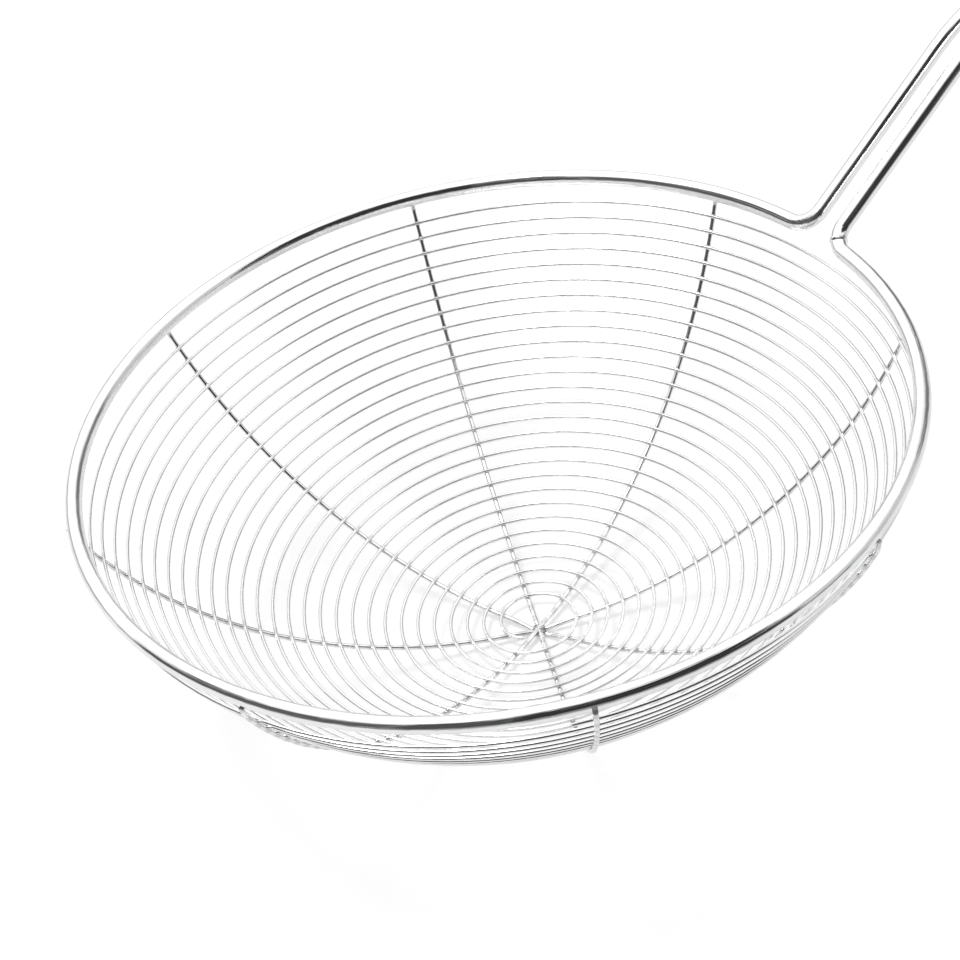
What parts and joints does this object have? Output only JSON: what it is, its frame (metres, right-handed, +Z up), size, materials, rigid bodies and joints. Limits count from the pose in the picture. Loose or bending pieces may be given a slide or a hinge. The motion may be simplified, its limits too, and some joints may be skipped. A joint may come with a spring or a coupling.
{
  "type": "spider skimmer",
  "caption": "Spider skimmer: an open bowl of finely wound wire on thin rib wires, hung in a heavy rim wire that carries on as a rising, open wire handle with a hanging eye.",
  "frame": {"origin": "Middle of the underside of the box round the whole tool, at the height of the lowest point of the bowl.", "axes": "+Z points up out of the open bowl, square to the rim. +X runs from the bowl to the hanging eye along the handle. +Y is to the left seen from the bowl towards the eye."},
  "size_m": [0.4, 0.2, 0.1316],
  "materials": {
    "bright_wire": "polished",
    "weld_bead": "satin"
  },
  "bodies": {
    "root": {"frame_wire": "bright_wire", "rib_wire_a": "bright_wire", "rib_wire_b": "bright_wire", "rib_wire_c": "bright_wire", "rib_wire_d": "bright_wire", "spiral_wire": "bright_wire", "hub_weld": "weld_bead", "neck_weld": "weld_bead"}
  },
  "joints": []
}
